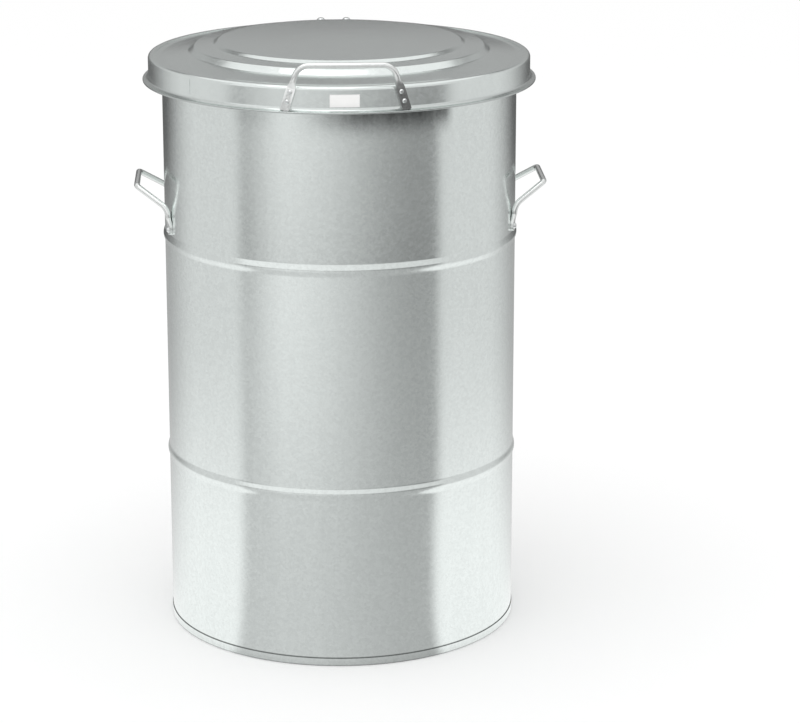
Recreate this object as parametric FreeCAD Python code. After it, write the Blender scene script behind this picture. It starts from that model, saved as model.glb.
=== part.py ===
# A free-standing bin of galvanised steel sheet with a hinged lid.
# The floor is z = 0 under the centre of the bin. The front is -Y, the hinge is at the back, +Y.
# Sizes are in millimetres and angles in degrees.
import FreeCAD, Part
import math
import os

# Sheet and fits
sheet = 0.8               # thickness of the body, bottom and lid
seat = 0.05               # clearance between pieces that are seated on each other
rest_gap = 0.3            # clearance between the closed lid and the rim that it rests on
flats_per_quarter = 2     # flats that make up a quarter turn of a bend in the sheet

# Body
body_radius = 250.0       # outside of the wall
body_height = 825.0       # floor to the top of the rolled rim
rib_heights = (252.0, 571.0)
rib_tall = 20.0
rib_proud = 2.3
rib_flats = 5
roll_bore = 2.8           # inside radius of the rolled rim
roll_turn = 315.0         # how far the rim is rolled round
roll_flats = 6

# Bottom
pan_height = 11.0         # floor to the inside of the bottom
pan_bend = 4.0
seam_tall = 11.0          # band of the bottom that is folded up round the wall

# Lid
lid_overhang = 19.0       # wall to the outside of the skirt
skirt_tall = 36.0         # lid rim down to the underside of the hem
rim_bend = 5.0
lip_wide = 6.0            # lip of the skirt that holds the edge of the lid top
edge_play = 0.5           # play round the edge of the lid top under the lip
flange_wide = 8.0
flange_bend = 5.0
hem_tall = 2.6
hem_wide = 5.0
disc_inset = 98.0         # skirt in to the raised disc in the middle of the lid
disc_rise = 18.0          # lid rim up to the disc
ledge_inner_inset = 92.0
ledge_inner_rise = 14.0
ledge_outer_inset = 65.0
ledge_outer_rise = 12.0
step_inset = 57.0
step_rise = 4.0
brim_wide = 14.0          # flat edge of the lid top that lies on the rim
step_bend = 5.0

# Bent rod of the three handles
rod_radius = 4.0
grip_bend = 10.0          # bend radius of the side handles' centre line at the grip
knee_bend = 20.0          # and where the legs meet the wall
flat_thick = 4.0          # thickness where the rod is forged flat
neck_long = 12.0          # length over which the rod turns into a flat

# Side handles
grip_long = 100.0
grip_stand = 37.0         # wall to the centre of the grip
eye_below_rim = 235.5     # rim of the body down to the rivet in the eye of each leg
knee_rise = 29.5          # eye up to where the legs leave the wall
grip_rise = 29.0          # knee up to the centre of the grip
eye_wide = 15.0
foot_spread = 146.0       # distance between the two eyes

# Lid handle
bar_height = 28.0         # lid rim to the centre of the bar
bar_bend = 19.0           # bend radius of the lid handle's centre line
strap_wide = 12.5
strap_angle = 16.45       # how far round the skirt each strap sits
strap_lean = 18.0
strap_end_rise = 0.3      # gap between the strap's end and the flange
lid_rivet_heights = (8.2, 21.0)   # lid rim down to the strap's rivets
strap_neck_drop = 3.0     # lid rim down to the top of the flat strap

# Hinge
pin_radius = 3.0
pin_play = 0.05
pin_head_radius = 4.5
pin_head_long = 2.0
hinge_thick = 3.0         # plate of the straps and the bracket
axis_out = 15.0           # skirt to the hinge axis
axis_below_rim = 43.3     # lid rim down to the hinge axis
hinge_strap_wide = 12.0
hinge_strap_centre = 19.0
hinge_strap_reach = 17.0  # how far a strap lies over the top of the lid
strap_joggle = 45.0       # slope of the strap from the skirt out to its eye
bracket_half = 12.0
bracket_slope = 35.0
bracket_tall = 30.0       # plate on the wall, below its bend
plate_bend = 4.0
hinge_side_play = 0.3

# Rivets
big_rivet = {"shank": 2.5, "head": 4.6, "head_tall": 2.6, "tail": 4.2, "tail_tall": 1.4}
small_rivet = {"shank": 1.8, "head": 3.2, "head_tall": 1.4, "tail": 2.8, "tail_tall": 1.0}
bracket_rivet_x = 6.5
bracket_rivet_heights = (6.0, 20.0)   # above the lower edge of the bracket
hinge_strap_rivet_heights = (9.0, 17.5)   # lid rim down to the rivets

# Heights and radii that follow
lid_radius = body_radius + lid_overhang
axis_back = lid_radius + axis_out
eye_height = body_height - eye_below_rim
knee_height = eye_height + knee_rise
grip_height = knee_height + grip_rise
rim_top = body_height + rest_gap + 2 * sheet + seat
flange_top = rim_top - skirt_tall + hem_tall
flange_radius = lid_radius + flange_wide
wall_inside = body_radius - sheet
skirt_inside = lid_radius - sheet
axis_height = rim_top - axis_below_rim
eye_radius = pin_radius + pin_play + hinge_thick
up = FreeCAD.Vector(0, 0, 1)


def left_of(start, end):
    # unit vector to the left of the way from start to end, in the plane of the section
    across = end[0] - start[0]
    rise = end[1] - start[1]
    length = math.hypot(across, rise)
    return (-rise / length, across / length)


def bent_line(corners):
    # points of a line through corners (across, up, bend radius), with each bend made up of short flats
    points = [corners[0][:2]]
    for before, corner, after in zip(corners, corners[1:], corners[2:]):
        radius = corner[2]
        side_in = left_of(before, corner)
        side_out = left_of(corner, after)
        cross = side_in[0] * side_out[1] - side_in[1] * side_out[0]
        turn = math.atan2(cross, side_in[0] * side_out[0] + side_in[1] * side_out[1])
        if radius == 0 or abs(turn) < 1e-6:
            points.append(corner[:2])
            continue
        hand = math.copysign(1, turn)
        cut = radius * math.tan(abs(turn) / 2)
        centre_x = corner[0] - side_in[1] * cut + hand * side_in[0] * radius
        centre_y = corner[1] + side_in[0] * cut + hand * side_in[1] * radius
        flats = math.ceil(abs(turn) / (math.pi / 2) * flats_per_quarter)
        first = math.atan2(-hand * side_in[1], -hand * side_in[0])
        for step in range(flats + 1):
            angle = first + turn * step / flats
            points.append((centre_x + radius * math.cos(angle), centre_y + radius * math.sin(angle)))
    return points + [corners[-1][:2]]


def beside(line, distance):
    # the same line moved sideways, to the left for a positive distance
    sides = [left_of(start, end) for start, end in zip(line, line[1:])]
    moved = []
    for point, a, b in zip(line, sides[:1] + sides, sides + sides[-1:]):
        share = distance / (1 + a[0] * b[0] + a[1] * b[1])
        moved.append((point[0] + share * (a[0] + b[0]), point[1] + share * (a[1] + b[1])))
    return moved


def turned(outline):
    # solid ring or disc from a closed outline of (radius, height) points
    points = [FreeCAD.Vector(radius, 0, height) for radius, height in outline]
    face = Part.Face(Part.makePolygon(points + points[:1]))
    return face.revolve(FreeCAD.Vector(), up, 360)


def extruded(outline, low_x, high_x):
    # plate from a closed outline of (y, z) points, between two places along X
    points = [FreeCAD.Vector(low_x, y, z) for y, z in outline]
    face = Part.Face(Part.makePolygon(points + points[:1]))
    return face.extrude(FreeCAD.Vector(high_x - low_x, 0, 0))


def closed(line, thickness):
    # closed outline of a sheet that follows the line, with its thickness to the left
    return line + beside(line, thickness)[::-1]


def rivet(size, grip):
    # rivet along Z: its head stands on z = 0 and its tail closes under the grip
    outline = [
        (0, size["head_tall"]),
        (0.6 * size["head"], size["head_tall"]),
        (size["head"], 0),
        (size["shank"], 0),
        (size["shank"], -grip),
        (size["tail"], -grip),
        (size["tail"], -grip - size["tail_tall"]),
        (0, -grip - size["tail_tall"]),
    ]
    return turned(outline)


def rivet_hole(size, place, long):
    hole = Part.makeCylinder(size["shank"] + seat, long, FreeCAD.Vector(0, 0, -long / 2))
    hole.Placement = place
    return hole


def frame_at(point, across, outward, along):
    # placement with its X across, its Y outward and its Z along
    return FreeCAD.Placement(point, FreeCAD.Rotation(across, outward, along, "ZXY"))


def facing(point, outward):
    # placement with its Z pointing outward from a point of a wall
    across = up.cross(outward).normalize()
    return frame_at(point, across, outward.cross(across), outward)


def sag(radius, half_wide):
    # how far a round wall falls back from a flat plate at its edge
    return radius - math.sqrt(radius ** 2 - half_wide ** 2)


def rod(points, bends):
    # round rod through the points, bent to its own radius at each inner one
    edges = []
    start = points[0]
    for before, corner, after, bend in zip(points, points[1:], points[2:], bends):
        way_in = (corner - before).normalize()
        way_out = (after - corner).normalize()
        half_turn = way_in.getAngle(way_out) / 2
        cut = bend * math.tan(half_turn)
        inward = (way_out - way_in).normalize()
        bend_start = corner - way_in * cut
        bend_end = corner + way_out * cut
        middle = corner + inward * (bend / math.cos(half_turn) - bend)
        edges.append(Part.makeLine(start, bend_start))
        edges.append(Part.Arc(bend_start, middle, bend_end).toShape())
        start = bend_end
    edges.append(Part.makeLine(start, points[-1]))
    section = Part.makeCircle(rod_radius, points[0], points[1] - points[0])
    return Part.Wire(edges).makePipeShell([Part.Wire(section)], True, False)


def forged_end(wide, long, round_tip):
    # end of a rod along Z, round at z = 0, forged flat below it, with its back on y = 0
    round_points = []
    for quarter in range(8):
        angle = math.radians(45 + 45 * quarter)
        x = rod_radius * math.cos(angle)
        y = rod_radius + rod_radius * math.sin(angle)
        round_points.append(FreeCAD.Vector(x, y, 0))
    arcs = []
    for side in range(4):
        three = [round_points[(2 * side + step) % 8] for step in range(3)]
        arcs.append(Part.Arc(*three).toShape())
    half = wide / 2
    corners = [(half, flat_thick), (-half, flat_thick), (-half, 0), (half, 0), (half, flat_thick)]
    flat_wire = Part.makePolygon([FreeCAD.Vector(x, y, -neck_long) for x, y in corners])
    neck = Part.makeLoft([Part.Wire(arcs), flat_wire], True, True)
    flat = Part.makeBox(wide, flat_thick, long - neck_long, FreeCAD.Vector(-half, 0, -long))
    if round_tip:
        tip = FreeCAD.Vector(0, 0, -long)
        flat = flat.fuse(Part.makeCylinder(half, flat_thick, tip, FreeCAD.Vector(0, 1, 0)))
    return neck.fuse(flat)


def one_solid(shape):
    clean = shape.removeSplitter()
    return clean.Solids[0] if len(clean.Solids) == 1 else clean


def save(name, shape):
    shape.exportStep("parts/" + name + ".step")


# Places of the side handles' feet

def handle_feet():
    # the two feet of the handle at +X, as placements on the wall with Z up the leg
    half_angle = math.asin(foot_spread / 2 / (body_radius + rod_radius))
    feet = []
    for side in (-1, 1):
        outward = FreeCAD.Vector(math.cos(half_angle), side * math.sin(half_angle), 0)
        across = outward.cross(up)
        feet.append(frame_at(outward * (body_radius + seat), across, outward, up))
    return feet


def handle_rivet_places(side):
    # outward-facing places of one side handle's rivets, on the flat of each eye; side is 1 or -1
    places = []
    for foot in handle_feet():
        outward = foot.Rotation.multVec(FreeCAD.Vector(0, 1, 0))
        point = foot.Base + outward * flat_thick + up * eye_height
        if side < 0:
            point.x = -point.x
            outward.x = -outward.x
        places.append(facing(point, outward))
    return places


def make_side_handle():
    # bent rod at +X: grip, two legs that slope down to the wall, and a flat eye on each
    ends = []
    path = []
    end_long = neck_long + big_rivet["head"] + 1
    neck_top = eye_height + end_long
    for side, foot in zip((-1, 1), handle_feet()):
        outward = foot.Rotation.multVec(FreeCAD.Vector(0, 1, 0))
        centre = foot.Base + outward * rod_radius
        grip_end = FreeCAD.Vector(body_radius + grip_stand, side * grip_long / 2, grip_height)
        leg = [centre + up * neck_top, centre + up * knee_height, grip_end]
        path = path + (leg if side < 0 else leg[::-1])
        end = forged_end(eye_wide, end_long, True)
        end.Placement = FreeCAD.Placement(foot.Base + up * neck_top, foot.Rotation)
        ends.append(end)
    handle = rod(path, [knee_bend, grip_bend, grip_bend, knee_bend]).fuse(ends)
    for place in handle_rivet_places(1):
        handle = handle.cut(rivet_hole(big_rivet, place, 4 * flat_thick))
    return one_solid(handle)


def wall_grip(size):
    # from the flat of an eye through the wall to where the tail lies inside
    return flat_thick + seat + sheet + sag(wall_inside, size["tail"]) + seat


def make_handle_rivets(side):
    rivets = []
    for place in handle_rivet_places(side):
        one = rivet(big_rivet, wall_grip(big_rivet) + seat)
        one.Placement = place.multiply(FreeCAD.Placement(up * seat, FreeCAD.Rotation()))
        rivets.append(one)
    return Part.makeCompound(rivets)


# Body

def body_line():
    # outer face of the wall from the bottom edge to the rim, then round the inside of the roll
    line = [(body_radius, sheet + seat)]
    for height in rib_heights:
        for step in range(rib_flats + 1):
            share = step / rib_flats
            proud = rib_proud * (1 - math.cos(2 * math.pi * share)) / 2
            line.append((body_radius + proud, height + (share - 0.5) * rib_tall))
    roll_height = body_height - sheet - roll_bore
    roll_centre = body_radius + roll_bore
    for step in range(roll_flats + 1):
        angle = math.radians(180 - roll_turn * step / roll_flats)
        line.append((roll_centre + roll_bore * math.cos(angle), roll_height + roll_bore * math.sin(angle)))
    return line


def bracket_rivet_places():
    # outward-facing places on the back of the hinge bracket
    low = bracket_bend_height() - bracket_tall
    places = []
    for height in bracket_rivet_heights:
        for x in (-bracket_rivet_x, bracket_rivet_x):
            point = FreeCAD.Vector(x, body_radius + seat + hinge_thick, low + height)
            places.append(facing(point, FreeCAD.Vector(0, 1, 0)))
    return places


def make_body_shell():
    shell = turned(closed(body_line(), sheet))
    for side in (-1, 1):
        for place in handle_rivet_places(side):
            shell = shell.cut(rivet_hole(big_rivet, place, 4 * flat_thick))
    for place in bracket_rivet_places():
        shell = shell.cut(rivet_hole(small_rivet, place, 6 * hinge_thick))
    return one_solid(shell)


def make_bottom_pan():
    # disc, turned down inside the wall, under its edge and up again outside it
    inner = wall_inside - seat
    outer = body_radius + seat
    line = bent_line([
        (0, pan_height, 0),
        (inner, pan_height, pan_bend),
        (inner, sheet, 0),
        (outer, sheet, 0),
        (outer, seam_tall, 0),
    ])
    return turned(closed(line, -sheet))


# Lid

def skirt_line():
    # outside of the skirt: lip on top, round rim, wall, flange and the hem folded under it
    return bent_line([
        (lid_radius - rim_bend - lip_wide, rim_top, 0),
        (lid_radius, rim_top, rim_bend),
        (lid_radius, flange_top, flange_bend),
        (flange_radius, flange_top, 0),
        (flange_radius, flange_top - hem_tall, 0),
        (flange_radius - hem_wide, flange_top - hem_tall, 0),
    ])


def strap_frame(side):
    # placement of one strap of the lid handle where its middle line crosses the lid rim, with Z up the strap
    angle = math.radians(strap_angle)
    lean = math.radians(strap_lean)
    outward = FreeCAD.Vector(side * math.sin(angle), -math.cos(angle), 0)
    aside = FreeCAD.Vector(side * math.cos(angle), math.sin(angle), 0)
    along = up * math.cos(lean) - aside * math.sin(lean)
    half_skirt = skirt_tall / 2
    point = outward * (lid_radius + seat) + up * rim_top - aside * half_skirt * math.tan(lean)
    return frame_at(point, outward.cross(along), outward, along)


def down_strap(side, drop):
    # point on the middle line of a strap's back, a drop below the lid rim
    place = strap_frame(side)
    along = place.Rotation.multVec(up)
    return place.Base - along * (drop / along.z)


def lid_handle_rivet_places():
    places = []
    for side in (-1, 1):
        outward = strap_frame(side).Rotation.multVec(FreeCAD.Vector(0, 1, 0))
        for drop in lid_rivet_heights:
            places.append(facing(down_strap(side, drop) + outward * flat_thick, outward))
    return places


def strap_near_side():
    return hinge_strap_centre - hinge_strap_wide / 2


def hinge_strap_face():
    # y of the flat face of the hinge straps that lies on the back of the skirt
    return math.sqrt(lid_radius ** 2 - strap_near_side() ** 2) + seat


def hinge_strap_rivet_places(side):
    places = []
    for drop in hinge_strap_rivet_heights:
        y = hinge_strap_face() + hinge_thick
        point = FreeCAD.Vector(side * hinge_strap_centre, y, rim_top - drop)
        places.append(facing(point, FreeCAD.Vector(0, 1, 0)))
    return places


def make_lid_skirt():
    skirt = turned(closed(skirt_line(), -sheet))
    for place in lid_handle_rivet_places():
        skirt = skirt.cut(rivet_hole(small_rivet, place, 4 * flat_thick))
    for side in (-1, 1):
        for place in hinge_strap_rivet_places(side):
            skirt = skirt.cut(rivet_hole(small_rivet, place, 6 * hinge_thick))
    return one_solid(skirt)


def make_lid_top():
    # pressed disc with two steps and a flat brim under the lip of the skirt
    brim_height = rim_top - sheet - seat
    edge = lid_radius - rim_bend - edge_play
    line = bent_line([
        (0, rim_top + disc_rise, 0),
        (lid_radius - disc_inset, rim_top + disc_rise, step_bend),
        (lid_radius - ledge_inner_inset, rim_top + ledge_inner_rise, step_bend),
        (lid_radius - ledge_outer_inset, rim_top + ledge_outer_rise, step_bend),
        (lid_radius - step_inset, rim_top + step_rise, step_bend),
        (edge - brim_wide, brim_height, step_bend),
        (edge, brim_height, 0),
    ])
    return turned(closed(line, -sheet))


def make_lid_handle():
    # bent rod over the front of the rim, forged into two flat straps that lie on the skirt
    path = []
    ends = []
    for side in (-1, 1):
        place = strap_frame(side)
        outward = place.Rotation.multVec(FreeCAD.Vector(0, 1, 0))
        neck_drop = strap_neck_drop - neck_long * math.cos(math.radians(strap_lean))
        neck_top = down_strap(side, neck_drop)
        leg = [neck_top + outward * rod_radius, down_strap(side, -bar_height) + outward * rod_radius]
        path = path + (leg if side < 0 else leg[::-1])
        strap_end = down_strap(side, rim_top - flange_top - strap_end_rise)
        end = forged_end(strap_wide, (neck_top - strap_end).Length, False)
        end.Placement = FreeCAD.Placement(neck_top, place.Rotation)
        ends.append(end)
    handle = rod(path, [bar_bend, bar_bend]).fuse(ends)
    under = flange_top - skirt_tall
    skirt_side = beside(skirt_line()[:-2], seat)
    handle = handle.cut(turned([(0, rim_top)] + skirt_side + [(flange_radius, under), (0, under)]))
    for place in lid_handle_rivet_places():
        handle = handle.cut(rivet_hole(small_rivet, place, 4 * flat_thick))
    return one_solid(handle)


def make_lid_handle_rivets():
    lean_out = strap_wide / 2 + skirt_tall / 2 * math.tan(math.radians(strap_lean))
    grip = flat_thick + seat + sheet + sag(skirt_inside, lean_out) + 2 * seat
    rivets = []
    for place in lid_handle_rivet_places():
        one = rivet(small_rivet, grip)
        one.Placement = place.multiply(FreeCAD.Placement(up * seat, FreeCAD.Rotation()))
        rivets.append(one)
    return Part.makeCompound(rivets)


# Hinge

def bracket_bend_height():
    # height at which the bracket leaves the wall, so that it passes just under the pin
    slope = math.radians(bracket_slope)
    under_y = axis_back + (pin_radius + pin_play) * math.sin(slope)
    under_z = axis_height - (pin_radius + pin_play) * math.cos(slope)
    return under_z - (under_y - body_radius - seat) * math.tan(slope)


def pin_cylinder(radius, low_x, high_x):
    base = FreeCAD.Vector(low_x, axis_back, axis_height)
    return Part.makeCylinder(radius, high_x - low_x, base, FreeCAD.Vector(1, 0, 0))


def make_hinge_bracket():
    # plate on the wall that bends out under the lid's flange and is rolled round the pin
    slope = math.radians(bracket_slope)
    face = body_radius + seat
    bend = bracket_bend_height()
    line = bent_line([
        (face, bend - bracket_tall, 0),
        (face, bend, plate_bend + hinge_thick),
        (axis_back + (pin_radius + pin_play) * math.sin(slope),
         axis_height - (pin_radius + pin_play) * math.cos(slope), 0),
    ])
    bracket = extruded(closed(line, -hinge_thick), -bracket_half, bracket_half)
    bracket = bracket.fuse(pin_cylinder(eye_radius, -bracket_half, bracket_half))
    bracket = bracket.cut(pin_cylinder(pin_radius + pin_play, -bracket_half - 1, bracket_half + 1))
    for place in bracket_rivet_places():
        bracket = bracket.cut(rivet_hole(small_rivet, place, 6 * hinge_thick))
    return one_solid(bracket)


def make_bracket_rivets():
    reach = bracket_rivet_x + small_rivet["tail"]
    grip = seat + hinge_thick + body_radius - wall_inside + sag(wall_inside, reach) + 2 * seat
    rivets = []
    for place in bracket_rivet_places():
        one = rivet(small_rivet, grip)
        one.Placement = place.multiply(FreeCAD.Placement(up * seat, FreeCAD.Rotation()))
        rivets.append(one)
    return Part.makeCompound(rivets)


def make_hinge_strap(side):
    # strap folded over the lid rim, down the skirt, out past the flange and rolled round the pin
    slope = math.radians(strap_joggle)
    face = hinge_strap_face()
    over = pin_radius + pin_play
    eye_y = axis_back + over * math.sin(slope)
    eye_z = axis_height + over * math.cos(slope)
    joggle_height = eye_z + (eye_y - face) * math.tan(slope)
    top = rim_top + seat
    line = bent_line([
        (face - hinge_strap_reach, top, 0),
        (face, top, rim_bend),
        (face, joggle_height, plate_bend),
        (eye_y, eye_z, 0),
    ])
    low = side * hinge_strap_centre - hinge_strap_wide / 2
    high = low + hinge_strap_wide
    strap = extruded(closed(line, hinge_thick), low, high)
    strap = strap.fuse(pin_cylinder(eye_radius, low, high))
    strap = strap.cut(pin_cylinder(over, low - 1, high + 1))
    for place in hinge_strap_rivet_places(side):
        strap = strap.cut(rivet_hole(small_rivet, place, 6 * hinge_thick))
    return one_solid(strap)


def make_hinge_strap_rivets():
    reach = hinge_strap_centre + small_rivet["tail"]
    inside_y = math.sqrt(skirt_inside ** 2 - reach ** 2) - seat
    rivets = []
    for side in (-1, 1):
        for place in hinge_strap_rivet_places(side):
            one = rivet(small_rivet, place.Base.y + seat - inside_y)
            one.Placement = place.multiply(FreeCAD.Placement(up * seat, FreeCAD.Rotation()))
            rivets.append(one)
    return Part.makeCompound(rivets)


def make_hinge_pin():
    half = hinge_strap_centre + hinge_strap_wide / 2 + hinge_side_play
    pin = pin_cylinder(pin_radius, -half, half)
    heads = [
        pin_cylinder(pin_head_radius, -half - pin_head_long, -half),
        pin_cylinder(pin_head_radius, half, half + pin_head_long),
    ]
    return one_solid(pin.fuse(heads))


os.makedirs("parts", exist_ok=True)
right_handle = make_side_handle()
save("body_shell", make_body_shell())
save("bottom_pan", make_bottom_pan())
save("right_handle", right_handle)
save("left_handle", right_handle.mirror(FreeCAD.Vector(), FreeCAD.Vector(1, 0, 0)))
save("right_handle_rivets", make_handle_rivets(1))
save("left_handle_rivets", make_handle_rivets(-1))
save("lid_top", make_lid_top())
save("lid_skirt", make_lid_skirt())
save("lid_handle", make_lid_handle())
save("lid_handle_rivets", make_lid_handle_rivets())
save("hinge_bracket", make_hinge_bracket())
save("hinge_bracket_rivets", make_bracket_rivets())
save("hinge_pin", make_hinge_pin())
save("left_hinge_strap", make_hinge_strap(-1))
save("right_hinge_strap", make_hinge_strap(1))
save("hinge_strap_rivets", make_hinge_strap_rivets())
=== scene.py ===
import math

import bpy
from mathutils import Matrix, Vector


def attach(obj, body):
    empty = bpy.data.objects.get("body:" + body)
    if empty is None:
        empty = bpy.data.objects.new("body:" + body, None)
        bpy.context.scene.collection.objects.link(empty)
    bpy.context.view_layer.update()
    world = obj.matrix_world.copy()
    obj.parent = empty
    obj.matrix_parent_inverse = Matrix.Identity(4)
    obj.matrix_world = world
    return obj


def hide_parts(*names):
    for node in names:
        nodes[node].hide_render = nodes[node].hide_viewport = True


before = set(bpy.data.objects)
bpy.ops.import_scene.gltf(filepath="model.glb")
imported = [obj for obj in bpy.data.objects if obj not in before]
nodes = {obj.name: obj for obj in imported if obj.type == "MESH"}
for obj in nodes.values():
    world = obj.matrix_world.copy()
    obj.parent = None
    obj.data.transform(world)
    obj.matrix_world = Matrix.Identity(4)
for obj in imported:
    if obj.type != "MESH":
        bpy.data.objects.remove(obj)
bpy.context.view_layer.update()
print("stage: frame loaded")

perMetre = 1000  # pieces are drawn in millimetres, materials and the studio in metres
mergeWithin = 1e-6
copyMergeWithin = 1e-5


class Sock:
    tree = None  # nodes of the material that is being made

    def __init__(self, socket):
        self.socket = socket

    @classmethod
    def join(cls, value, target):
        if isinstance(value, Sock):
            cls.tree.links.new(value.socket, target)
        else:
            target.default_value = value

    @classmethod
    def node(cls, kind, output=0, settings=None, **inputs):
        made = cls.tree.nodes.new(kind)
        for key, value in (settings or {}).items():
            setattr(made, key, value)
        for key, value in inputs.items():
            numbered = key.startswith("in") and key[2:].isdigit()
            cls.join(value, made.inputs[int(key[2:]) if numbered else key.replace("_", " ")])
        return cls(made.outputs[output])

    def math(self, kind, *others):
        values = {"in%d" % slot: value for slot, value in enumerate((self,) + others)}
        return Sock.node("ShaderNodeMath", settings={"operation": kind}, **values)

    def __add__(self, other):
        return self.math("ADD", other)

    __radd__ = __add__

    def __sub__(self, other):
        return self.math("SUBTRACT", other)

    def __rsub__(self, other):
        return (self * -1) + other

    def __mul__(self, other):
        return self.math("MULTIPLY", other)

    __rmul__ = __mul__

    def __truediv__(self, other):
        return self.math("DIVIDE", other)

    def ramp(self, low, high, start=0.0, end=1.0):
        return Sock.node("ShaderNodeMapRange", settings={"interpolation_type": "SMOOTHSTEP"},
                         Value=self, From_Min=low, From_Max=high, To_Min=start, To_Max=end)

    def other(self, number):
        return Sock(self.socket.node.outputs[number])


def objectPlace():
    return Sock.node("ShaderNodeTexCoord", output=3)


def axes(place):
    across = Sock.node("ShaderNodeSeparateXYZ", Vector=place)
    return across, across.other(1), across.other(2)


def grey(tone):
    return Sock.node("ShaderNodeCombineColor", Red=tone, Green=tone, Blue=tone)


def shaded(colour, tone):
    return Sock.node("ShaderNodeMix", output=2, settings={"data_type": "RGBA", "blend_type": "MULTIPLY"},
                     in0=1.0, in6=colour, in7=grey(tone))


def startMaterial(name):
    material = bpy.data.materials.new(name)
    material.use_nodes = True
    Sock.tree = material.node_tree
    return material, material.node_tree.nodes["Principled BSDF"]


def plug(value, shader, name):
    Sock.join(value, shader.inputs[name])


def galvanised(name, look):
    material, shader = startMaterial(name)
    place = objectPlace()
    across, deep, height = axes(place)
    cells = Sock.node("ShaderNodeTexVoronoi", output=1, Vector=place, Scale=look["crystals"])
    crystal = Sock.node("ShaderNodeSeparateColor", Color=cells)
    fine = Sock.node("ShaderNodeTexNoise", Vector=place, Scale=look["crystals"] * look["finer"], Detail=3.0)
    cloud = Sock.node("ShaderNodeTexNoise", Vector=place, Scale=look["cloudSize"], Detail=2.0)
    stretch = Sock.node("ShaderNodeMapping", Vector=place, Scale=look["streakSize"])
    grain = Sock.node("ShaderNodeTexNoise", Vector=stretch, Scale=1.0, Detail=3.0)
    tone = 1 + (crystal - 0.5) * look["spangle"] + (cloud - 0.5) * look["cloud"]
    tone = tone + (fine - 0.5) * look["mottle"] + (grain - 0.5) * look["grain"]
    # darker below a height
    for low, high, depth in look["darkerBelow"]:
        tone = tone - height.ramp(low, high, depth, 0.0)
    soft = look["lineSoft"]
    # dark bands between two heights: joints, and painted contact shadow
    for low, high, depth in look["lines"]:
        tone = tone - height.ramp(low - soft, low) * height.ramp(high, high + soft, depth, 0.0)
    # patches of painted shade and painted highlight on the front
    for paintedTone in look["stains"]:
        patch = across.ramp(*paintedTone["left"]) * across.ramp(*paintedTone["right"], 1.0, 0.0)
        patch = patch * height.ramp(*paintedTone["low"]) * height.ramp(*paintedTone["high"], 1.0, 0.0)
        patch = patch * deep.ramp(*look["front"], 1.0, 0.0)
        if paintedTone.get("underLid"):  # painted shade, only there while something stands over the sheet
            cover = look["cover"]
            free = Sock.node("ShaderNodeAmbientOcclusion", output=1,
                             settings={"samples": cover["samples"]}, Distance=cover["reach"])
            patch = patch * (1 - free).ramp(*cover["share"])
        streaks = look["streaks"][0] + grain * look["streaks"][1]
        tone = tone - patch * streaks * paintedTone["depth"]
    plug(shaded(look["colour"], tone), shader, "Base Color")
    spread = look["roughSpread"]
    rough = look["rough"] + (crystal - 0.5) * spread + (cloud - 0.5) * spread + (fine - 0.5) * spread
    metal = look["metal"]
    inside = look["inside"]
    if inside:
        normalX, normalY, normalZ = axes(Sock.node("ShaderNodeTexCoord", output=1))
        reach = (across * across + deep * deep).math("SQRT")
        inward = (normalX * across + normalY * deep) / (reach + inside["offAxis"])
        onBottom = reach.ramp(*inside["bottom"], 1.0, 0.0) * normalZ.ramp(*inside["up"])
        dull = (inward.ramp(*inside["inward"], 1.0, 0.0) + onBottom).math("MINIMUM", 1.0)
        rough = rough + dull * inside["rougher"]
        metal = metal - dull * inside["lessMetal"]
    plug(metal, shader, "Metallic")
    plug(rough, shader, "Roughness")
    relief = crystal * look["relief"][0] + grain * look["relief"][1] + fine * look["relief"][2]
    bump = Sock.node("ShaderNodeBump", Strength=look["bump"], Distance=look["bumpDeep"], Height=relief)
    plug(bump, shader, "Normal")
    return material


sheetLook = {
    "colour": (0.795, 0.84, 0.825, 1), "metal": 1.0, "rough": 0.17, "roughSpread": 0.05,
    "crystals": 250.0, "finer": 2.4, "cloudSize": 5.0, "streakSize": (60.0, 60.0, 1.2),
    "spangle": 0.07, "mottle": 0.17, "cloud": 0.03, "grain": 0.05,
    "relief": (0.3, 0.5, 0.4), "bump": 0.045, "bumpDeep": 0.0006,  # relief of crystals, grain and mottle
    "darkerBelow": [(0.0, 0.014, 0.12)],  # darker towards the bottom: from height, to height, depth
    "lines": [(0.0108, 0.0122, 0.6), (-0.001, 0.0009, 0.45)],  # dark joint above the folded band, and painted contact shadow along the foot
    "lineSoft": 0.0005,
    "front": (-0.02, 0.0),  # painted shade and painted highlight stay on the front
    "streaks": (0.6, 0.8),  # even share and streaky share of the painted shade and highlight
    "cover": {"reach": 0.09, "samples": 8, "share": (0.0, 0.05)},
    "stains": [  # streaky shade under the edge of the lid
        {"left": (-0.16, -0.135), "right": (-0.12, -0.085), "low": (0.745, 0.79), "high": (0.9, 0.95),
         "depth": 0.18, "underLid": True},
        {"left": (-0.085, 0.03), "right": (0.135, 0.15), "low": (0.737, 0.795), "high": (0.9, 0.95),
         "depth": 0.82, "underLid": True},
    ],
    "inside": {  # duller zinc on the inner wall and on the bottom
        "lessMetal": 0.36, "rougher": 0.25, "inward": (-0.6, -0.2), "bottom": (0.2485, 0.249),
        "up": (0.2, 0.6), "offAxis": 0.001},
}
plain = {"darkerBelow": [], "lines": [], "stains": [], "inside": None}
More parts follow.
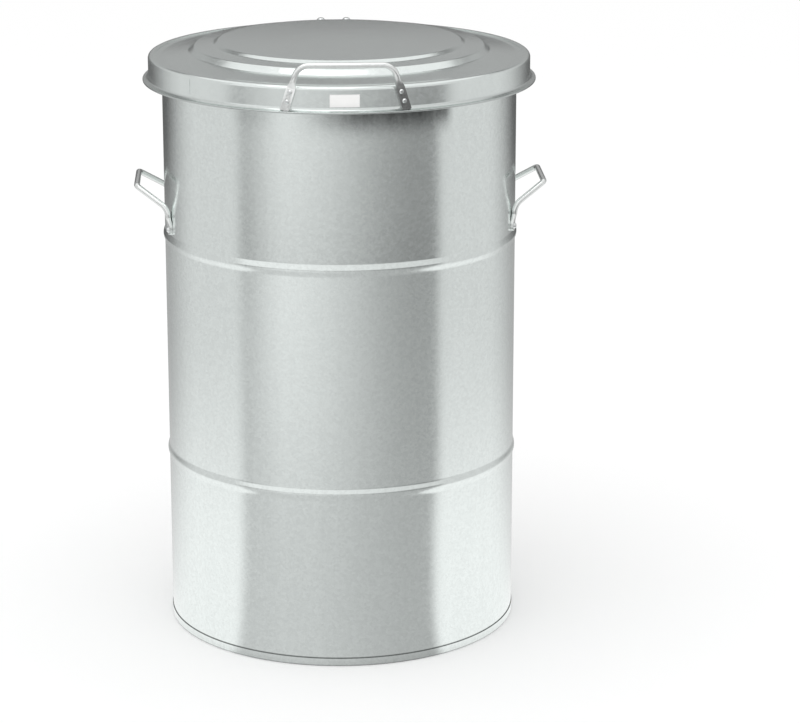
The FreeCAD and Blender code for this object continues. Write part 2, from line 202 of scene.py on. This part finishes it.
# the lid is darker at the flange
lidLook = {**sheetLook, **plain, "rough": 0.21, "bump": 0.008, "mottle": 0.09, "spangle": 0.03,
           "cloud": 0.14, "darkerBelow": [(0.7935, 0.799, 0.3)]}
rodLook = {**sheetLook, **plain, "colour": (0.84, 0.86, 0.85, 1), "rough": 0.15, "grain": 0.0, "bump": 0.06}
lidRodLook = {**rodLook, "stains": [  # painted shade on the right strap and a painted highlight on the left one
    {"left": (0.04, 0.05), "right": (0.2, 0.3), "low": (0.7, 0.75), "high": (0.828, 0.84), "depth": 0.5},
    {"left": (-0.3, -0.2), "right": (-0.05, -0.04), "low": (0.7, 0.75), "high": (0.828, 0.84),
     "depth": -0.14},
]}
rivetLook = {**rodLook, "colour": (0.78, 0.80, 0.80, 1), "rough": 0.22, "bump": 0.045}
sheetMaterial = galvanised("galvanisedSheet", sheetLook)
lidMaterial = galvanised("galvanisedLid", lidLook)
rodMaterial = galvanised("zincRod", rodLook)
lidRodMaterial = galvanised("zincLidRod", lidRodLook)
rivetMaterial = galvanised("rivetZinc", rivetLook)
print("stage: materials made")


def activate(piece):
    bpy.ops.object.select_all(action="DESELECT")
    piece.select_set(True)
    bpy.context.view_layer.objects.active = piece


def roundedLine(corners, perTurn=28):
    # corners are radius, height and bend; perTurn is the number of steps in a full turn of a bend
    points = [Vector(corners[0][:2])]
    for before, corner, after in zip(corners, corners[1:], corners[2:]):
        middle = Vector(corner[:2])
        wayIn = (middle - Vector(before[:2])).normalized()
        wayOut = (Vector(after[:2]) - middle).normalized()
        turn = wayIn.angle_signed(wayOut) * -1
        radius = corner[2]
        if radius == 0 or abs(turn) < 1e-4:
            points.append(middle)
            continue
        hand = math.copysign(1, turn)
        start = middle - wayIn * radius * math.tan(abs(turn) / 2)
        side = Vector((-wayIn.y, wayIn.x)) * hand
        centre = start + side * radius
        count = max(2, math.ceil(abs(turn) / math.tau * perTurn))
        spoke = start - centre
        for step in range(count + 1):
            angle = turn * step / count
            points.append(centre + Vector((
                spoke.x * math.cos(angle) - spoke.y * math.sin(angle),
                spoke.x * math.sin(angle) + spoke.y * math.cos(angle))))
    return points + [Vector(corners[-1][:2])]


def besideLine(line, distance):
    sides = []
    for start, end in zip(line, line[1:]):
        way = (end - start).normalized()
        sides.append(Vector((-way.y, way.x)))
    moved = []
    for point, before, after in zip(line, sides[:1] + sides, sides + sides[-1:]):
        moved.append(point + (before + after) * distance / (1 + before.dot(after)))
    return moved


def sheetOutline(line, thick):
    return line + besideLine(line, thick)[::-1]


def drawnOutline(name, outline, turn=90.0):
    # turn is the angle round the can at which the outline stands, 0 at the front and 90 at the right
    bpy.ops.object.select_all(action="DESELECT")
    bpy.ops.mesh.primitive_circle_add(vertices=len(outline), radius=0.25)
    piece = bpy.context.view_layer.objects.active
    piece.name = name
    piece.data.name = name
    angle = math.radians(turn)
    for vertex, point in zip(piece.data.vertices, outline):
        vertex.co = (point.x * math.sin(angle) / perMetre, -point.x * math.cos(angle) / perMetre,
                     point.y / perMetre)
    return piece


def turnedPiece(name, outline, steps=288, onAxis=1e-4):
    piece = drawnOutline(name, outline)
    if abs(outline[0].x) < onAxis and abs(outline[-1].x) < onAxis:  # the outline stays open along the axis
        bpy.ops.object.mode_set(mode="EDIT")
        bpy.ops.mesh.select_mode(type="EDGE")
        bpy.ops.mesh.select_all(action="DESELECT")
        bpy.ops.object.mode_set(mode="OBJECT")
        vertices = piece.data.vertices
        for edge in piece.data.edges:
            edge.select = all(abs(vertices[end].co.x) < onAxis / perMetre for end in edge.vertices)
        bpy.ops.object.mode_set(mode="EDIT")
        bpy.ops.mesh.delete(type="EDGE")
        bpy.ops.mesh.select_mode(type="VERT")
        bpy.ops.object.mode_set(mode="OBJECT")
    screw = piece.modifiers.new("turn", "SCREW")
    screw.steps = steps
    screw.render_steps = steps
    screw.use_merge_vertices = True
    screw.merge_threshold = mergeWithin
    screw.use_normal_calculate = True
    bpy.ops.object.modifier_apply(modifier="turn")
    bpy.ops.object.mode_set(mode="EDIT")
    bpy.ops.mesh.select_all(action="SELECT")
    bpy.ops.mesh.remove_doubles(threshold=mergeWithin)
    bpy.ops.mesh.normals_make_consistent(inside=False)
    bpy.ops.object.mode_set(mode="OBJECT")
    bpy.ops.object.shade_smooth_by_angle(angle=math.radians(40))
    return piece


def finish(piece, body, material, slotName, *replaced):
    piece.data.materials.clear()
    piece.data.materials.append(material)
    if replaced:
        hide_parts(*replaced)
    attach(piece, body)


def smoothCopy(node, body, material, slotName):
    activate(nodes[node])
    bpy.ops.object.duplicate()
    piece = bpy.context.view_layer.objects.active
    piece.parent = None
    for key in list(piece.keys()):
        del piece[key]
    piece.name = node + ".fine"
    bpy.ops.object.mode_set(mode="EDIT")
    bpy.ops.mesh.select_all(action="SELECT")
    bpy.ops.mesh.customdata_custom_splitnormals_clear()
    bpy.ops.mesh.remove_doubles(threshold=copyMergeWithin)
    bpy.ops.object.mode_set(mode="OBJECT")
    bpy.ops.object.shade_smooth_by_angle(angle=math.radians(35))
    finish(piece, body, material, slotName, node)


wall = {"radius": 250.0, "sheet": 0.8, "ribs": (252.0, 571.0), "ribTall": 20.0, "ribProud": 2.3,
        "ribSteps": 20, "top": 825.0, "bore": 2.8, "turn": 315.0, "curlSteps": 18, "gap": 0.05}


def wallLine():
    line = [Vector((wall["radius"], wall["sheet"] + wall["gap"]))]
    for height in wall["ribs"]:
        for step in range(wall["ribSteps"] + 1):
            share = step / wall["ribSteps"]
            proud = wall["ribProud"] * (1 - math.cos(math.tau * share)) / 2
            line.append(Vector((wall["radius"] + proud, height + (share - 0.5) * wall["ribTall"])))
    centre = Vector((wall["radius"] + wall["bore"], wall["top"] - wall["sheet"] - wall["bore"]))
    for step in range(wall["curlSteps"] + 1):
        angle = math.radians(180 - wall["turn"] * step / wall["curlSteps"])
        line.append(centre + Vector((math.cos(angle), math.sin(angle))) * wall["bore"])
    return line


bodyLine = wallLine()
bodyShell = turnedPiece("bodyShell", sheetOutline(bodyLine, wall["sheet"]))
finish(bodyShell, "bin", sheetMaterial, "galvanised_sheet", "body_shell")

pan = {"height": 11.0, "bend": 4.0, "band": 11.0, "inner": 249.15, "outer": 250.05, "sheet": 0.8,
       "fold": 0.44}
panLine = roundedLine([
    (0, pan["height"], 0),
    (pan["inner"], pan["height"], pan["bend"]),
    (pan["inner"], pan["sheet"], pan["fold"]),
    (pan["outer"], pan["sheet"], pan["fold"]),
    (pan["outer"], pan["band"], 0)])
bottomPan = turnedPiece("bottomPan", sheetOutline(panLine, -pan["sheet"]))
finish(bottomPan, "bin", sheetMaterial, "galvanised_sheet", "bottom_pan")
print("stage: body made")

rim = {"top": 826.95, "radius": 269.0, "tall": 36.0, "bend": 5.0, "lip": 6.0, "flange": 277.0,
       "flangeBend": 5.0, "hem": 2.6, "hemWide": 5.0, "hemBend": 0.9, "sheet": 0.8, "perTurn": 40}
flangeTop = rim["top"] - rim["tall"] + rim["hem"]
skirtLine = roundedLine([
    (rim["radius"] - rim["bend"] - rim["lip"], rim["top"], 0),
    (rim["radius"], rim["top"], rim["bend"]),
    (rim["radius"], flangeTop, rim["flangeBend"]),
    (rim["flange"], flangeTop, rim["hemBend"]),
    (rim["flange"], flangeTop - rim["hem"], rim["hemBend"]),
    (rim["flange"] - rim["hemWide"], flangeTop - rim["hem"], 0)], rim["perTurn"])
lidSkirt = turnedPiece("lidSkirt", sheetOutline(skirtLine, -rim["sheet"]))
finish(lidSkirt, "lid", lidMaterial, "galvanised_sheet", "lid_skirt")

# radius and rise above the rim of the disc and of both steps, then the flat brim under the lip
press = {"disc": (171.0, 18.0), "ledge": (177.0, 14.0), "ledgeOut": (204.0, 12.0), "step": (212.0, 4.0),
         "brim": 14.0, "bend": 5.0, "edge": 263.5, "top": 826.1, "perTurn": 40}
pressLine = roundedLine(
    [(0, rim["top"] + press["disc"][1], 0)]
    + [(press[part][0], rim["top"] + press[part][1], press["bend"])
       for part in ("disc", "ledge", "ledgeOut", "step")]
    + [(press["edge"] - press["brim"], press["top"], press["bend"]), (press["edge"], press["top"], 0)],
    press["perTurn"])
lidTop = turnedPiece("lidTop", sheetOutline(pressLine, -rim["sheet"]))
finish(lidTop, "lid", lidMaterial, "galvanised_sheet", "lid_top")
print("stage: lid made")

for node in ("left_handle", "right_handle"):
    smoothCopy(node, "bin", rodMaterial, "zinc_rod")
smoothCopy("lid_handle", "lid", lidRodMaterial, "zinc_rod")
for node in ("left_handle_rivets", "right_handle_rivets", "hinge_bracket_rivets"):
    smoothCopy(node, "bin", rivetMaterial, "rivet_steel")
for node in ("lid_handle_rivets", "hinge_strap_rivets"):
    smoothCopy(node, "lid", rivetMaterial, "rivet_steel")
for node in ("hinge_bracket", "hinge_pin"):
    smoothCopy(node, "bin", rodMaterial, "hinge_steel")
for node in ("left_hinge_strap", "right_hinge_strap"):
    smoothCopy(node, "lid", rodMaterial, "hinge_steel")

topRivet = {"x": 19.0, "y": 260.5, "z": 830.0, "radius": 5.5, "tall": 3.2, "under": -0.05,
            "segments": 40, "rings": 20}
for side, name in ((-1, "leftStrapTopRivet"), (1, "rightStrapTopRivet")):
    bpy.ops.object.select_all(action="DESELECT")
    bpy.ops.mesh.primitive_uv_sphere_add(
        segments=topRivet["segments"], ring_count=topRivet["rings"], radius=1)
    rivet = bpy.context.view_layer.objects.active
    rivet.name = name
    rivet.data.name = name
    for vertex in rivet.data.vertices:  # the lower half is pressed flat
        spot = vertex.co
        spot.z = max(spot.z, topRivet["under"]) * topRivet["tall"]
        spot.x = spot.x * topRivet["radius"] + side * topRivet["x"]
        spot.y = spot.y * topRivet["radius"] + topRivet["y"]
        spot.z += topRivet["z"]
        vertex.co = spot / perMetre
    bpy.ops.object.mode_set(mode="EDIT")
    bpy.ops.mesh.select_all(action="SELECT")
    bpy.ops.mesh.remove_doubles(threshold=mergeWithin)
    bpy.ops.object.mode_set(mode="OBJECT")
    bpy.ops.object.shade_smooth_by_angle(angle=math.radians(50))
    finish(rivet, "lid", rivetMaterial, "rivet_steel")


def bentStrip(name, body, material, slotName, line, strip, steps=10):
    # strip that lies on a turned surface: its section in radius and height is spun through its width
    around = strip["wide"] / line[0].x
    start = strip["turn"] + math.degrees(around) / 2  # spin runs back from here
    piece = drawnOutline(name, sheetOutline(line, strip["thick"]), start)
    bpy.ops.object.mode_set(mode="EDIT")
    bpy.ops.mesh.select_all(action="SELECT")
    bpy.ops.mesh.edge_face_add()
    bpy.ops.mesh.spin(steps=steps, angle=around, center=(0, 0, 0), axis=(0, 0, 1))
    bpy.ops.mesh.select_all(action="SELECT")
    bpy.ops.mesh.normals_make_consistent(inside=False)
    bpy.ops.object.mode_set(mode="OBJECT")
    bpy.ops.object.shade_smooth_by_angle(angle=math.radians(35))
    finish(piece, body, material, slotName)


joint = {"turn": -52.0, "wide": 14.0, "thick": 0.35, "low": 800.5, "high": 821.0, "clear": 0.02}
jointRadius = rim["radius"] + joint["clear"]
jointLine = [Vector((jointRadius, joint["high"])), Vector((jointRadius, joint["low"]))]
bentStrip("skirtJoint", "lid", lidMaterial, "galvanised_sheet", jointLine, joint)

seam = {"turn": 158.0, "wide": 9.0, "thick": -0.9, "low": 12.5, "high": 811.0, "clear": 0.03}
seamEnds = [Vector((wall["radius"] + seam["clear"], height)) for height in (seam["low"], seam["high"])]
overRibs = [Vector((point.x + seam["clear"], point.y))
            for point in bodyLine if seam["low"] < point.y < seam["high"]]
bentStrip("wallSeam", "bin", sheetMaterial, "galvanised_sheet", seamEnds[:1] + overRibs + seamEnds[1:], seam)

label = {"wide": 40.0, "low": 799.5, "tall": 17.0, "radius": 269.12, "thick": 0.15, "middle": -1.5,
         "steps": 24, "colour": (0.87, 0.87, 0.86, 1), "fibre": 900.0, "cloudSize": 75.0, "mottle": 0.09,
         "cloud": 0.08, "worn": 0.22, "wornWide": 1.6, "wornRough": 0.2, "rough": 0.45,
         "roughSpread": 0.15, "bump": 0.08, "bumpDeep": 0.0002}
label["turn"] = math.degrees(label["middle"] / label["radius"])


def labelFinish():
    material, shader = startMaterial("blankLabel")
    place = objectPlace()
    across, height = axes(place)[::2]
    fibre = Sock.node("ShaderNodeTexNoise", Vector=place, Scale=label["fibre"], Detail=4.0)
    cloud = Sock.node("ShaderNodeTexNoise", Vector=place, Scale=label["cloudSize"], Detail=2.0)
    halfWide = label["wide"] / 2
    halfTall = label["tall"] / 2
    toSide = (across - label["middle"] / perMetre).math("ABSOLUTE")
    toEnd = (height - (label["low"] + halfTall) / perMetre).math("ABSOLUTE")
    worn = toSide.ramp((halfWide - label["wornWide"]) / perMetre, halfWide / perMetre)
    worn = worn.math("MAXIMUM", toEnd.ramp((halfTall - label["wornWide"]) / perMetre, halfTall / perMetre))
    tone = 1 + (fibre - 0.5) * label["mottle"] + (cloud - 0.5) * label["cloud"] - worn * cloud * label["worn"]
    plug(shaded(label["colour"], tone), shader, "Base Color")
    rough = label["rough"] + worn * label["wornRough"] + (cloud - 0.5) * label["roughSpread"]
    plug(rough, shader, "Roughness")
    bump = Sock.node("ShaderNodeBump", Strength=label["bump"], Distance=label["bumpDeep"], Height=fibre)
    plug(bump, shader, "Normal")
    return material


labelLine = [Vector((label["radius"], label["low"] + label["tall"])), Vector((label["radius"], label["low"]))]
bentStrip("blankLabel", "lid", labelFinish(), "galvanised_sheet", labelLine, label, label["steps"])
print("stage: fittings made")

floorLook = {"colour": (0.985, 0.985, 0.985, 1), "rough": 0.7, "specular": 0.0, "size": 30, "drop": 0.0005}
floorMaterial, floorShader = startMaterial("paleFloor")
plug(floorLook["colour"], floorShader, "Base Color")
plug(floorLook["rough"], floorShader, "Roughness")
plug(floorLook["specular"], floorShader, "Specular IOR Level")
bpy.ops.object.select_all(action="DESELECT")
bpy.ops.mesh.primitive_plane_add(size=floorLook["size"], location=(0, 0, -floorLook["drop"]))
floor = bpy.context.view_layer.objects.active
floor.name = "floor"
floor.data.materials.append(floorMaterial)

world = bpy.data.worlds.new("paleRoom")
bpy.context.scene.world = world
world.use_nodes = True
world.node_tree.nodes["Background"].inputs["Color"].default_value = (1, 1, 1, 1)

# What the metal reflects. Angle and reach are measured from a point that stands "middle" metres in front
# of the can's axis, with angle 0 at the front. Tall is the height in metres. Each pair is from and to.
studio = {
    "middle": 0.135, "radius": 5.0, "height": 5.0, "sides": 96,
    "left": (-72.0, 0.54), "bright": (-38.0, 0.94), "right": (52.0, 0.37),  # angle and tone of the front
    "fade": {"reach": (2.0, 3.8), "tones": (1.0, 0.78)},  # the front dims away from the can
    "near": {"reach": (0.2, 2.4), "share": (0.1, 1.0), "angle": (-40.0, 50.0), "tones": (0.66, 0.51)},
    "strip": {"start": (3.3, 3.8), "end": (4.1, 4.35), "tone": 0.4},  # dimmer floor before the camera
    "softbox": {"tall": (0.35, 0.9), "angle": (-40.0, 50.0), "tones": (0.99, 0.80)},  # above the front
    "edges": ((-74.0, -65.0), (60.0, 69.0)),  # where the front ends, left and right
    "drawnIn": {"reach": (0.25, 1.3), "by": 5.0},  # the right edge comes in near the can
    "side": {"reach": (0.45, 2.0), "tones": (1.04, 0.75)},
    "away": {  # dimmer parts behind the can
        "angle": (106.0, 156.0), "near": (0.5, 1.4, 0.34, 0.42), "far": (2.2, 3.6, 0.0, 0.42),
        "floor": (0.0, 0.2), "high": (3.0, 4.0, 0.0, 0.5), "belt": (1.30, 1.50, 0.62, 0.0)},
}


def frontTone(angle, reach, tall):
    leftEnd, brightest, rightEnd = studio["left"], studio["bright"], studio["right"]
    tone = angle.ramp(leftEnd[0], brightest[0], leftEnd[1], brightest[1])
    tone = tone + angle.ramp(brightest[0], rightEnd[0], 0.0, rightEnd[1] - brightest[1])
    tone = tone * reach.ramp(*studio["fade"]["reach"], *studio["fade"]["tones"])
    near = studio["near"]
    far = reach.ramp(*near["reach"], *near["share"])
    tone = tone * far + angle.ramp(*near["angle"], *near["tones"]) * (1 - far)
    strip = studio["strip"]
    unlit = reach.ramp(*strip["start"]) * reach.ramp(*strip["end"], 1.0, 0.0)
    tone = tone * (1 - unlit * (1 - strip["tone"]))
    box = studio["softbox"]
    raised = tall.ramp(*box["tall"])
    return tone * (1 - raised) + angle.ramp(*box["angle"], *box["tones"]) * raised


def sideTone(angle, reach, tall):
    away = studio["away"]
    behind = angle.math("ABSOLUTE").ramp(*away["angle"])
    tone = reach.ramp(*studio["side"]["reach"], *studio["side"]["tones"])
    onFloor = tall.ramp(*away["floor"], 1.0, 0.0)
    tone = tone * (1 - behind * (reach.ramp(*away["near"]) + reach.ramp(*away["far"]) * onFloor))
    tone = tone * (1 - behind * tall.ramp(*away["high"]))
    return tone * (1 - behind * tall.ramp(*away["belt"]) * tall.ramp(*away["floor"]))


def cardFinish():
    material, shader = startMaterial("studioCard")
    Sock.tree.nodes.remove(shader)
    across, deep, tall = axes(objectPlace())
    deep = deep + studio["middle"]
    angle = across.math("ARCTAN2", deep * -1) * (180 / math.pi)
    reach = (across * across + deep * deep).math("SQRT")
    drawn = reach.ramp(*studio["drawnIn"]["reach"], studio["drawnIn"]["by"], 0.0)
    leftEdge, rightEdge = studio["edges"]
    inFront = angle.ramp(*leftEdge) * (angle + drawn).ramp(*rightEdge, 1.0, 0.0)
    tone = frontTone(angle, reach, tall) * inFront + sideTone(angle, reach, tall) * (1 - inFront)
    plug(Sock.node("ShaderNodeEmission", Color=grey(tone)), Sock.tree.nodes["Material Output"], "Surface")
    return material


cardMaterial = cardFinish()


def addCard(name, piece):
    # only reflections see a card
    piece.name = name
    piece.data.materials.append(cardMaterial)
    piece.visible_camera = False
    piece.visible_diffuse = False
    piece.visible_shadow = False
    piece.visible_transmission = False


bpy.ops.object.select_all(action="DESELECT")
bpy.ops.mesh.primitive_circle_add(vertices=studio["sides"], radius=studio["radius"], fill_type="NGON",
                                  location=(0, 0, 0))
addCard("floorCard", bpy.context.view_layer.objects.active)
bpy.ops.mesh.primitive_cylinder_add(vertices=studio["sides"], radius=studio["radius"], depth=studio["height"],
                                    end_fill_type="NOTHING", location=(0, 0, studio["height"] / 2))
bpy.ops.object.transform_apply(location=True, rotation=False, scale=False)
addCard("wallCard", bpy.context.view_layer.objects.active)


def wayTo(azimuth, elevation):
    turn = math.radians(azimuth)
    lift = math.radians(elevation)
    return Vector((math.sin(turn) * math.cos(lift), -math.cos(turn) * math.cos(lift), math.sin(lift)))


topLamp = {"azimuth": -30, "elevation": 70, "distance": 4.0, "wide": 2.5, "deep": 2.5, "watts": 20,
           "height": 0.45}
lampData = bpy.data.lights.new("topSoftbox", "AREA")
lampData.shape = "RECTANGLE"
lampData.size = topLamp["wide"]
lampData.size_y = topLamp["deep"]
lampData.energy = topLamp["watts"]
lamp = bpy.data.objects.new("topSoftbox", lampData)
wayToLamp = wayTo(topLamp["azimuth"], topLamp["elevation"])
lamp.location = Vector((0, 0, topLamp["height"])) + wayToLamp * topLamp["distance"]
lamp.rotation_euler = wayToLamp.to_track_quat("Z", "Y").to_euler()
bpy.context.scene.collection.objects.link(lamp)
print("stage: studio made")

# focal and middle are in picture points; middle is where the object's centre line and height land
shot = {"azimuth": -1.8, "elevation": 15.4, "distance": 4.25, "height": 0.415, "focal": 2936.0,
        "middle": (341.0, 333.2), "picture": (800, 723), "sensor": 36}
wayToCamera = wayTo(shot["azimuth"], shot["elevation"])
aside = Vector((math.cos(math.radians(shot["azimuth"])), math.sin(math.radians(shot["azimuth"])), 0))
above = wayToCamera.cross(aside)
aim = (-wayToCamera * shot["focal"] - aside * (shot["middle"][0] - shot["picture"][0] / 2)
       - above * (shot["picture"][1] / 2 - shot["middle"][1]))
cameraData = bpy.data.cameras.new("camera")
cameraData.sensor_width = shot["sensor"]
cameraData.lens = shot["focal"] / shot["picture"][0] * shot["sensor"]
camera = bpy.data.objects.new("camera", cameraData)
camera.location = Vector((0, 0, shot["height"])) + wayToCamera * shot["distance"]
camera.rotation_euler = aim.to_track_quat("-Z", "Y").to_euler()
bpy.context.scene.collection.objects.link(camera)
bpy.context.scene.camera = camera
bpy.context.scene.view_settings.view_transform = "Standard"
print("stage: camera set")
